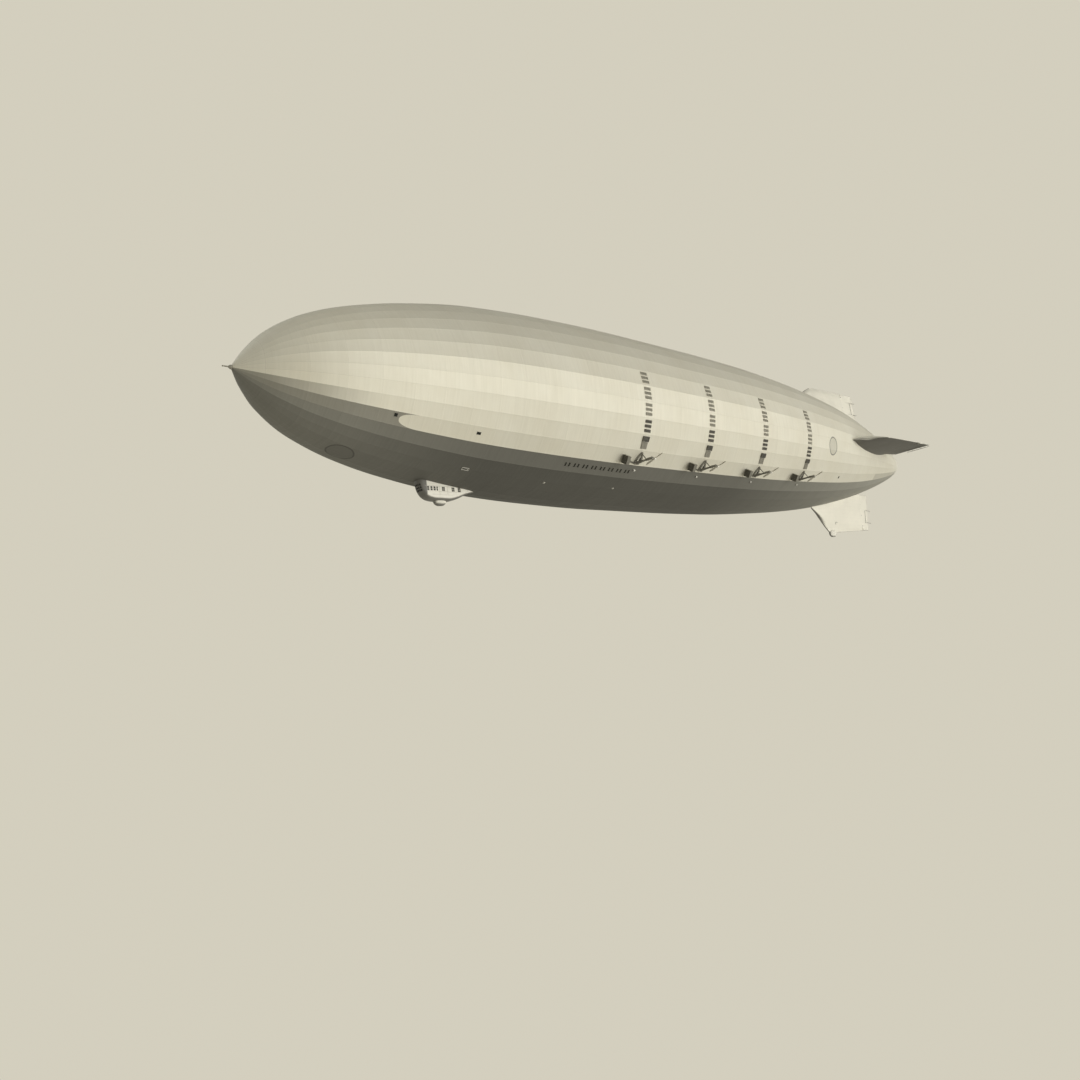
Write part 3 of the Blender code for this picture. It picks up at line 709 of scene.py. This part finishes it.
def drive_unit(aft, tag, side, hub):
    """Engine block inside, shaft tube, outrigger with its stays, and the radiator ahead of it."""
    s = Solid()
    x = hub.x
    skin_y = sqrt(radius(aft) ** 2 - hub.z ** 2)
    s.box((x, skin_y - 0.33, hub.z), (0.1, 0.194, 0.096), 0.006)
    for i in range(6):
        s.box((x, skin_y - 0.4 + 0.028 * i, hub.z + 0.049), (0.08, 0.014, 0.01), 0.002)
    s.tube([(x, skin_y - 0.26, hub.z), (x, skin_y + 0.01, hub.z)], 0.024, 20)
    sleeve = [(skin_y - 0.02, 0.024), (skin_y + 0.03, 0.03), (skin_y + 0.06, 0.0285)]
    s.lathe((x, 0, hub.z), (0, 1, 0), sleeve + [(hub.y + out, r) for out, r in SHAFT_END])
    s.paint = 1
    base_plate(s, aft)
    s.skin_box(aft - 0.02, -43.3, (0.15, 0.076, 0.0145), 0.0075, 0.004)
    s.paint = 3
    s.skin_box(aft + 0.034, -41, (0.026, 0.07, 0.02), 0.011, 0.004)
    s.paint = 2
    point, turn = skin_point(aft, -40)
    for u, w in BASE_BOLTS:
        foot = point + turn @ Vector((u, w, 0.014))
        s.lathe(foot, turn.col[2], [(0, 0.0055), (0.0035, 0.005), (0.005, 0.002)], 8)
    s.paint = 0
    collar = Vector((x, hub.y - 0.112, hub.z))
    for foot_aft, angle, r in ((aft + 0.003, -36.7, 0.0085), (aft - 0.113, -43.5, 0.0095)):
        foot = skin_point(foot_aft, angle, 0.01)[0]
        path = [foot.lerp(collar, t) for t in (0, 0.08, 0.5, 0.92, 1)]
        s.tube(path, [r * 0.8, r, r * 1.1, r, r * 0.8], 12)
        out = skin_point(foot_aft, angle)[1].col[2]
        s.lathe(foot - out * 0.008, out, [(0, 0.019), (0.009, 0.018), (0.014, 0.012), (0.02, 0.01)], 16)
    # Radiator: a finned core facing forward in a pale shell, leaning up a little, on two struts.
    core, lean = skin_point(aft - 0.485, -41, 0.094)
    lean = lean @ about_x(-7)

    def part(size, shift, bevel=0):
        s.box(core + lean @ Vector(shift), size, bevel, lean)

    s.paint = 3
    part((0.092, 0.166, 0.146), (0, 0, 0), 0.004)
    s.paint = 1
    for end in (-1, 1):
        part((0.1, 0.007, 0.16), (0, end * 0.0865, 0), 0.003)
        part((0.1, 0.18, 0.007), (0, 0, end * 0.0765), 0.003)
    s.paint = 4
    for i in range(13):
        for end in (-1, 1):
            part((0.004, 0.0035, 0.146), (end * 0.0475, (i - 6) * 0.0125, 0))
    for i in range(4):
        part((0.003, 0.16, 0.0035), (-0.048, 0, -0.045 + i * 0.03))
    s.paint = 0
    a = skin_point(aft - 0.455, -41, 0.09)[0]
    b = skin_point(aft - 0.12, -43.2, 0.012)[0]
    s.tube([a, a.lerp(b, 0.12), a.lerp(b, 0.5), a.lerp(b, 0.9), b], [0.013, 0.01, 0.01, 0.01, 0.013], 12)
    low = skin_point(aft - 0.45, -43, 0.03)[0]
    s.tube([low, skin_point(aft - 0.27, -43.2, 0.02)[0], skin_point(aft - 0.1, -43.4, 0.014)[0]], 0.0075, 10)
    s.build("outrigger_" + tag, [STRUT, BASE, STEEL, DARK, LOUVRE],
            replaces=["drive_unit_" + tag], side=side)


# Turned shapes: distance along the axis, radius
GEAR_CASE = [(-0.085, 0.0185), (-0.085, 0.027), (-0.081, 0.0305), (-0.06, 0.0305), (-0.056, 0.028),
             (0.03, 0.0285), (0.036, 0.0305), (0.046, 0.03), (0.052, 0.024), (0.0521, 0)]
GEAR_NECK = [(0.01, 0.026), (0.04, 0.0265), (0.056, 0.0245), (0.06, 0.027), (0.066, 0.027),
             (0.068, 0.024), (0.078, 0.022), (0.08, 0.013), (0.0801, 0)]
SPINNER = [(-0.0396, 0.0115), (-0.026, 0.0115), (-0.0255, 0.022), (-0.022, 0.03), (0.018, 0.031),
           (0.028, 0.029), (0.042, 0.022), (0.054, 0.0125), (0.06, 0.0055), (0.062, 0)]
SPINNER_RIM = [(-0.02, 0.0317), (-0.0195, 0.0335), (-0.015, 0.0335), (-0.0145, 0.03)]
BOLT = [(0, 0.003), (0.003, 0.003), (0.0036, 0.0018)]
HUB_BOLT = [(0, 0.003), (0.003, 0.003), (0.0036, 0.0016)]
SMALL_BOLT = [(0, 0.0022), (0.0025, 0.0022), (0.003, 0.0014)]


def tilt_head(tag, side, hub):
    """Gear case round the end of the shaft, with the propeller's bearing facing aft."""
    s = Solid()
    s.lathe(hub, (0, 1, 0), GEAR_CASE, 32)
    s.lathe(hub, (-1, 0, 0), GEAR_NECK, 32)
    s.paint = 1
    s.bolts(hub + Vector((0, 0.05, 0)), (0, 1, 0), 0.0195, 8, BOLT)
    s.bolts(hub - Vector((0.066, 0, 0)), (-1, 0, 0), 0.0245, 8, SMALL_BOLT)
    for s_z in (-1, 1):
        s.box(hub + Vector((-0.004, -0.066, s_z * 0.029)), (0.018, 0.01, 0.006), 0.002)
    s.build("gear_head_" + tag, [BASE, STEEL], "tilt_head_" + tag, ["tilt_head_" + tag], side)


# Blade rows: distance from the centre, chord, thickness share, pitch in degrees
BLADE = [(0.016, 0.026, 0.62, 66), (0.034, 0.03, 0.42, 58), (0.06, 0.038, 0.27, 48),
         (0.095, 0.044, 0.19, 38), (0.13, 0.046, 0.145, 31), (0.165, 0.043, 0.12, 26),
         (0.195, 0.038, 0.105, 22), (0.22, 0.03, 0.095, 20), (0.236, 0.022, 0.09, 18),
         (0.245, 0.013, 0.09, 17), (PROP_R, 0.005, 0.09, 17)]
SECTION = [(0.5, 0), (0.44, 0.3), (0.3, 0.5), (0.08, 0.56), (-0.18, 0.42), (-0.38, 0.2), (-0.5, 0),
           (-0.38, -0.1), (-0.18, -0.26), (0.08, -0.4), (0.3, -0.42), (0.44, -0.26)]


def propeller(turn, tag, side, hub):
    s = Solid()
    centre = hub - Vector((HUB_AFT, 0, 0))
    for way in (0, 180):
        spin = about_x(way + turn)
        for paint, lo, hi in ((0, 0, 7), (1, 7, 10)):
            s.paint = paint
            rings = []
            for out, chord, thick, pitch in BLADE[lo:hi + 1]:
                p = radians(pitch)
                points = [(c * chord, t * chord * thick) for c, t in SECTION]
                rings.append([centre + spin @ Vector((a * sin(p) + b * cos(p), a * cos(p) - b * sin(p), out))
                              for a, b in points])
            s.loft(rings)
    s.paint = 2
    s.lathe(centre, (-1, 0, 0), SPINNER, 32)
    s.lathe(centre, (-1, 0, 0), SPINNER_RIM, 32)
    s.paint = 3
    s.bolts(centre - Vector((0.0255, 0, 0)), (-1, 0, 0), 0.0185, 6, HUB_BOLT, 30)
    body = "propeller_" + tag
    s.build("propeller_blades_" + tag, [BLADE_WOOD, TIP, BRIGHT, STEEL], body, [body], side)


places = {j["name"]: Vector(j["pos_m"]) for j in frame["joints"]}
for side_name, side in SIDES.items():
    for number, (aft, turn) in enumerate(ENGINES, 1):
        tag = side_name + "_" + str(number)
        hub = places["tilt_" + tag].copy()
        hub.y = abs(hub.y)
        condenser(aft, tag, side)
        drive_unit(aft, tag, side, hub)
        tilt_head(tag, side, hub)
        propeller(turn, tag, side, hub)

# Fins and their movable parts, each modelled upright and then turned round the hull
FIN_EDGE = [(17.85, 1.66), (18.25, 1.9), (18.7, 2.13), (18.92, 2.21), (19.2, 2.24), (19.8, 2.258),
            (20.8, 2.275)]
LOWER_EDGE = [(17.85, 1.66), (18.12, 1.875), (18.335, 2.09), (18.56, 2.285), (18.75, 2.405), (18.92, 2.425),
              (19.24, 2.385), (20.2, 2.332), (20.8, 2.298)]
ROOT_HALF = [(17.85, 0.014), (18.07, 0.045), (18.31, 0.118), (18.6, 0.165), (18.95, 0.195), (19.4, 0.203),
             (19.84, 0.192), (20.3, 0.15), (20.66, 0.098), (20.84, 0.064)]
TIP_HALF = [(17.85, 0.008), (18.4, 0.014), (19.2, 0.026), (20.2, 0.034), (20.84, 0.03)]
HINGE_AFT = 20.9
TIP_R = 2.275
NOSE_T = 0.052
TRAILING = (21.66, 21.58)
LOWER_TRAILING = (21.45, 21.24)
LOWER_TIP_R = 2.29


def half_thickness(aft, rho):
    low = flat(aft)
    share = max(0, min(1, (rho - low) / (TIP_R - low)))
    return curve(ROOT_HALF, aft) * (1 - share) + curve(TIP_HALF, aft) * share


def nose_half(share):
    """Half thickness at the hinge line, from the root to the tip."""
    return NOSE_T * (1 - 0.55 * share)


def skin_height(aft, across):
    """Height of the hull's skin beside the middle line of a facet."""
    low = flat(aft)
    if across <= low * tan(radians(5)):
        return low
    return (low - across * sin(radians(10))) / cos(radians(10))


def turned(solid, degrees):
    solid.verts = [about_x(degrees) @ v for v in solid.verts]


def fin(name, degrees, outline):
    """Thick at the root, thin at the tip, cut at the root to the skin of the hull."""
    s = Solid()
    rear = HINGE_AFT - NOSE_T - 0.008
    shares = [0, 0.12, 0.25, 0.38, 0.5, 0.62, 0.74, 0.84, 0.92, 0.97]
    rings = []
    for aft in steps(17.85, rear, 44):
        low = flat(aft)
        high = curve(outline, aft)
        side = []
        for share in shares:
            rho = low + (high - low) * share
            thick = half_thickness(aft, rho)
            thick += (0.006 - thick) * max(0, (share - 0.88) / 0.12)
            side.append((thick, rho))
        side[0] = (side[0][0], skin_height(aft, side[0][0]) - 0.003)
        side += [(0.0055, high - 0.004), (0.003, high)]
        rings.append([at(aft, t, rho) for t, rho in side] + [at(aft, -t, rho) for t, rho in side[::-1]])
    s.loft(rings)
    # Leading edge strip, and hinge brackets at the rear edge.
    s.paint = 1
    edge = [(aft, curve(outline, aft)) for aft in steps(17.86, 18.91, 21)]
    s.tube([at(a, 0, r + 0.002) for a, r in edge], 0.0085 if outline is FIN_EDGE else 0.015, 10)
    s.paint = 2
    for sy in (-1, 1):
        for rho in (1.1, 1.45, 1.8, 2.15):
            t = half_thickness(rear, rho)
            s.box(at(rear - 0.012, sy * (t * 0.8 + 0.004), rho), (0.05, 0.012, 0.022), 0.003)
    # Thin cloth strips close the hinge gap on both faces, clear of the round nose of the movable part.
    s.paint = 0
    low = flat(HINGE_AFT - 0.05) + 0.04
    for sy in (-1, 1):
        strip = []
        for share in (0, 0.5, 1):
            rho = low + (curve(outline, rear) - 0.03 - low) * share
            out = nose_half(share) + 0.0055
            face = min(half_thickness(rear, rho), out) - 0.004
            edge = [(rear - 0.02, face), (rear + 0.01, out), (HINGE_AFT - 0.004, out),
                    (HINGE_AFT - 0.004, out + 0.0015), (rear + 0.01, out + 0.0015),
                    (rear - 0.02, face + 0.004)]
            strip.append([at(aft, sy * t, rho) for aft, t in edge])
        s.loft(strip)
    turned(s, degrees)
    s.build(name + "_cover", [FIN, STRUT, STEEL], replaces=[name])


def movable(name, degrees, trailing, tip):
    """Rudder or elevator: round nose on the hinge line, thin trailing edge, tab, horns and rods."""
    s = Solid()
    low = flat(HINGE_AFT - 0.05) + 0.035
    high = tip - 0.004
    hinge_x = NOSE_X - HINGE_AFT

    def rear(rho):
        """Place of the trailing edge at a radius."""
        return NOSE_X - trailing[0] - (trailing[1] - trailing[0]) * (rho - low) / (high - low)

    rings = []
    for share in (0, 0.01, 0.25, 0.5, 0.75, 0.97, 0.995, 1):
        rho = low + (high - low) * share
        pinch = {0: 0.55, 1: 0.35, 0.995: 0.8}.get(share, 1)
        nose = nose_half(share)
        chord = hinge_x - rear(rho)
        ring = [Vector((hinge_x + nose * cos(a), nose * sin(a) * pinch, rho))
                for a in steps(-pi / 2, pi / 2, 12)]
        flanks = [(back, 1 - 0.9 * back) for back in (0.12, 0.3, 0.5, 0.7, 0.88)]
        ring += [Vector((hinge_x - back * chord, nose * part * pinch, rho)) for back, part in flanks]
        ring += [Vector((rear(rho), t, rho)) for t in (0.003, -0.003)]
        ring += [Vector((hinge_x - back * chord, -nose * part * pinch, rho)) for back, part in flanks[::-1]]
        rings.append(ring)
    s.loft(rings)
    s.paint = 1
    foot = flat(HINGE_AFT - 0.018) - 0.004
    s.tube([(hinge_x, 0, foot), (hinge_x, 0, low + 0.02)], 0.0155, 20)
    collar = [(0, 0.016), (0.001, 0.022), (0.01, 0.022), (0.013, 0.018)]
    s.lathe((hinge_x, 0, low - 0.012), (0, 0, 1), collar, 20)

    def flank(rho, ahead):
        """Half thickness at a distance ahead of the trailing edge."""
        nose = nose_half((rho - low) / (high - low))
        return nose * (1 - 0.9 * (1 - ahead / (hinge_x - rear(rho))))

    # Tab: a thin dark slot on both faces, and horns with rods that reach past the trailing edge.
    inner, outer = 1.64, 2.04
    s.paint = 2
    for sy in (-1, 1):
        corners = [Vector((rear(rho) + ahead, sy * (flank(rho, ahead) + 0.0005), rho))
                   for rho, ahead in ((inner, 0.012), (inner, 0.19), (outer, 0.19), (outer, 0.012))]
        for width, (start, end) in zip((0.0025, 0.007, 0.0025), zip(corners, corners[1:])):
            s.tube([start, end], width, 6)
    s.paint = 1
    ends = []
    for rho in (1.62, 2.02):
        end = Vector((rear(rho) - 0.19, 0, rho + 0.035))
        ends.append(end)
        for sy in (-1, 1):
            horn = Vector((rear(rho) + 0.05, sy * 0.055, rho))
            s.tube([(rear(rho) + 0.085, 0, rho), horn], [0.0045, 0.003], 8)
            s.tube([horn, (hinge_x - 0.26, sy * 0.026, rho)], 0.0026, 8)
            s.tube([horn, end], 0.0032, 8)
    if name.startswith("elevator"):
        s.tube([ends[0] - Vector((0, 0, 0.1)), ends[1] + Vector((0, 0, 0.12))], 0.0045, 8)
        for sy in (-1, 1):
            s.tube([(rear(rho) + 0.05, sy * 0.055, rho) for rho in (1.54, 2.12)], 0.004, 8)
    turned(s, degrees)
    s.build(name + "_cover", [FIN, STRUT, DARK], name, [name])


for name, degrees in (("fin_top", 0), ("fin_port", -90), ("fin_starboard", 90), ("fin_bottom", 180)):
    fin(name, degrees, LOWER_EDGE if name == "fin_bottom" else FIN_EDGE)
for name, degrees in (("rudder_top", 0), ("elevator_port", -90), ("elevator_starboard", 90)):
    movable(name, degrees, TRAILING, TIP_R)
movable("rudder_bottom", 180, LOWER_TRAILING, LOWER_TIP_R)

# Bumper fairing, its ring and small windows on the lower fin's front corner
tail = Solid()
centre = at(18.88, 0, -2.43)
low_turn = asin((-2.53 - centre.z) / 0.12)
tail.loft([oval(centre, (0.19, 0.062, 0.12), a, 32) for a in steps(low_turn, pi / 2 * 0.97, 20)])
tail.paint = 1
ring = [(0, 0.022), (0.002, 0.03), (0.008, 0.03), (0.012, 0.024)]
tail.lathe(centre + Vector((0, 0, -0.09)), (0, 0, 1), ring)
tail.paint = 2
for aft, z in ((19.06, -2.085), (19.13, -2.085), (19.06, -2.13)):
    tail.box(at(aft, 0, z), (0.03, 2 * half_thickness(aft, -z) + 0.006, 0.03), 0.004)
tail.build("tail_bumper", [RUBBER, STRUT, GLASS])

# Nose fitting with its ring of bolts
spindle = Solid()
rows = [(-0.02, 0.04), (0, 0.0365), (0.004, 0.036), (0.026, 0.02), (0.03, 0.0185), (0.032, 0.012),
        (0.1, 0.011), (0.104, 0.009), (0.118, 0.009), (0.122, 0.013), (0.134, 0.0125), (0.1395, 0.009),
        (0.14, 0)]
spindle.lathe((NOSE_X, 0, 0), (1, 0, 0), rows, 32)
rows = [(0, 0.0034), (0.0075, 0.0034), (0.0085, 0.002)]
spindle.bolts((NOSE_X + 0.001, 0, 0), (1, 0, 0), 0.031, 12, rows)
spindle.build("mooring_fitting", [PANEL], replaces=["mooring_spindle"])

# Control car: rounded shell with real window openings, frames, panes, a floor and a bench inside
CAR = [(3.5, 0.06, -1.76), (3.53, 0.095, -1.86), (3.57, 0.117, -1.945), (3.64, 0.129, -2.025),
       (3.74, 0.133, -2.07), (3.86, 0.134, -2.085), (4.14, 0.133, -2.085), (4.35, 0.127, -2.045),
       (4.58, 0.108, -1.955), (4.72, 0.08, -1.9), (4.82, 0.045, -1.872)]
CAR_WINDOWS = [(3.67, 0.044), (3.742, 0.044), (3.814, 0.044), (3.876, 0.028), (4.005, 0.028),
               (4.041, 0.028), (4.238, 0.028), (4.274, 0.028), (4.392, 0.028), (4.428, 0.028)]
WINDOW_ROWS = (-1.851, -1.893)
FRONT_WINDOWS = [(y, z) for y in (-0.072, -0.024, 0.024, 0.072) for z in (-1.797, -1.851, -1.9)]


def table_at(aft, column):
    return curve([(row[0], row[column]) for row in CAR], aft)


def car_ring(aft, inset=0, raise_top=0.03):
    top = -flat(aft) + raise_top
    half = table_at(aft, 1) - inset
    bottom = min(-flat(aft) - 0.012, table_at(aft, 2) + inset)
    bend = min(0.075, 0.62 * half, 0.55 * (-flat(aft) - bottom))
    side = [(half, top), (half, bottom + bend + 0.02)]
    side += [(half - bend + bend * cos(a), bottom + bend - bend * sin(a)) for a in steps(0, pi / 2, 8)]
    return [at(aft, y, z) for y, z in side] + [at(aft, -y, z) for y, z in side[::-1]]


def cut_out(target, tool):
    mod = target.modifiers.new("cut", "BOOLEAN")
    mod.operation = "DIFFERENCE"
    mod.solver = "EXACT"
    mod.object = tool
    bpy.context.view_layer.update()
    with bpy.context.temp_override(object=target, active_object=target):
        bpy.ops.object.modifier_apply(modifier=mod.name)
    bpy.data.objects.remove(tool)


shell = Solid()
shell.loft([car_ring(a) for a in steps(3.5, 3.6, 20) + steps(3.6, 4.82, 52)[1:]])
car = placed("car_shell_tool", shell.as_bmesh())
hollow = Solid()
hollow.loft([car_ring(a - 0.012 if a < 4 else a + 0.012, 0.01, 0.055) for a in steps(3.545, 4.655, 40)])
cut_out(car, placed("car_hollow_tool", hollow.as_bmesh()))
holes = Solid()
for aft, width in CAR_WINDOWS:
    for z in WINDOW_ROWS:
        holes.box(at(aft, 0, z), (width, 0.4, 0.035), 0.005)
for y, z in FRONT_WINDOWS:
    holes.box(at(3.5, y, z), (0.2, 0.036, 0.037), 0.006)
cut_out(car, placed("car_holes_tool", holes.as_bmesh()))
bm = bmesh.new()
bm.from_mesh(car.data)
bpy.data.objects.remove(car)
finish_mesh("car_shell", bm, [CAR_SKIN], "envelope", ["control_car"], 40)

trim = Solid()
panes = Solid()
for side in (-1, 1):
    for aft, width in CAR_WINDOWS:
        half = table_at(aft, 1)
        for z in WINDOW_ROWS:
            for s in (-1, 1):
                trim.box(at(aft - s * (width / 2 + 0.001), side * half, z), (0.0035, 0.007, 0.041), 0.001)
                trim.box(at(aft, side * half, z + s * 0.0185), (width + 0.005, 0.007, 0.0035), 0.001)
            panes.box(at(aft, side * (half - 0.0055), z), (width + 0.004, 0.0025, 0.039))
    # Belt rail, lower rail, skirting seam, door outline and handle on the car's wall.
    for z, r in ((-1.822, 0.0028), (-1.925, 0.0028), (-1.985, 0.0022)):
        reach = [a for a in steps(3.6, 4.71, 37)
                 if table_at(a, 2) + 0.085 < z and -flat(a) > z + 0.01]
        if len(reach) > 2:
            trim.tube([at(a, side * (table_at(a, 1) + 0.0004), z) for a in reach], r, 6)
    for a in (3.93, 4.12):
        trim.box(at(a, side * (table_at(a, 1) + 0.0005), -1.905), (0.0035, 0.004, 0.16), 0.001)
    trim.box(at(4.1, side * (table_at(4.1, 1) + 0.006), -1.91), (0.014, 0.006, 0.004), 0.0015)
for y, z in FRONT_WINDOWS:
    aft = next((a for a in steps(3.5, 3.736, 59)
                if table_at(a, 1) > abs(y) + 0.018 and table_at(a, 2) + 0.02 < z), 3.6)
    panes.box(at(aft + 0.008, y, z), (0.003, 0.038, 0.039))
trim.build("car_window_frames", [CAR_TRIM])
panes.build("car_glass", [GLASS])

inside = Solid()
inside.box(at(4.05, 0, -2), (0.8, 0.19, 0.008), 0.002)
inside.paint = 1
for aft in (3.62, 3.95, 4.35):
    inside.box(at(aft, 0, -1.962), (0.05, 0.1, 0.07), 0.006)
    inside.lathe(at(aft - 0.03, 0, -1.925), (1, 0, 0.3), [(0, 0.022), (0.004, 0.024), (0.008, 0.022)], 20)
inside.build("cabin_fittings", [CABIN, STRUT])

# Bumper bag under the car, lashed round its rim
bag = Solid()
centre = at(4, 0, -2.085)
start = asin((-2.17 - centre.z) / 0.1)
bag.loft([oval(centre, (0.145, 0.08, 0.1), a, 48, 0.004) for a in steps(start, 0.04, 16)])
for v in bag.verts:
    v.z = max(v.z, -2.17)
bag.paint = 1
for a in (-0.1, -0.52):
    points = oval(centre, (0.147, 0.082, 0.1), a, 48)
    bag.tube(points + points[:1], 0.0032, 6)
bag.build("car_bumper_bag", [RUBBER, CAR_TRIM], replaces=["car_bumper"])

# Stage: pale floor and backdrop, soft key light from port, low fill, and the camera
FLOOR_Z = -5.68
BACKDROP = (0.655, 0.622, 0.515)


def two_tones(tree, shader, output, seen, met, strength):
    """The camera sees one plain tone, and light that meets the surface comes back in another."""
    tree.nodes.clear()
    mix = tree.nodes.new("ShaderNodeMixShader")
    path = tree.nodes.new("ShaderNodeLightPath")
    tree.links.new(path.outputs["Is Camera Ray"], mix.inputs[0])
    for number, colour, power in ((1, met, strength), (2, seen, 1)):
        node = tree.nodes.new(shader)
        node.inputs[0].default_value = (*colour, 1)
        node.inputs[1].default_value = power
        tree.links.new(node.outputs[0], mix.inputs[number])
    tree.links.new(mix.outputs[0], tree.nodes.new(output).inputs[0])


pale = bpy.data.materials.new("stage_floor")
pale.use_nodes = True
two_tones(pale.node_tree, "ShaderNodeEmission", "ShaderNodeOutputMaterial", BACKDROP, BACKDROP, 0.6)
ground = bpy.data.meshes.new("stage_floor")
corners = [(x, y, FLOOR_Z) for x, y in ((-400, -400), (400, -400), (400, 400), (-400, 400))]
ground.from_pydata(corners, [], [range(4)])
ground.materials.append(pale)
ground = placed("stage_floor", ground)
ground.visible_shadow = False

world = bpy.data.worlds.new("studio")
bpy.context.scene.world = world
world.use_nodes = True
WORLD_TONE = (0.66, 0.64, 0.56)
two_tones(world.node_tree, "ShaderNodeBackground", "ShaderNodeOutputWorld", BACKDROP, WORLD_TONE, 0.42)

# Soft suns: name, direction from the object to the light, power, angle across, colour
for name, towards, power, angle, colour in (
        ("key_light", (-0.54, 0.83, -0.13), 2.05, 60, (1, 0.98, 0.93)),
        ("low_light", (-0.3, 0.78, -0.58), 0.55, 90, (1, 0.99, 0.95)),
        ("fill_light", (0.35, -0.8, 0.5), 0.4, 60, (0.96, 0.97, 1))):
    light = bpy.data.lights.new(name, "SUN")
    light.energy = power
    light.angle = radians(angle)
    light.color = colour
    placed(name, light).rotation_euler = Vector(towards).to_track_quat("Z", "Y").to_euler()

camera = bpy.data.cameras.new("camera")
camera.sensor_width = 36
camera.lens = 29.553
camera.clip_end = 2000
camera = placed("camera", camera)
yaw, pitch, roll = radians(-133.76), radians(8.38), radians(-6.86)
camera.matrix_world = (Matrix.Translation((17.469, 13.312, -5.52)) @ Matrix.Rotation(yaw - pi / 2, 4, "Z")
                       @ Matrix.Rotation(pitch + pi / 2, 4, "X") @ Matrix.Rotation(roll, 4, "Z"))
bpy.context.scene.camera = camera
bpy.context.scene.view_settings.view_transform = "Standard"
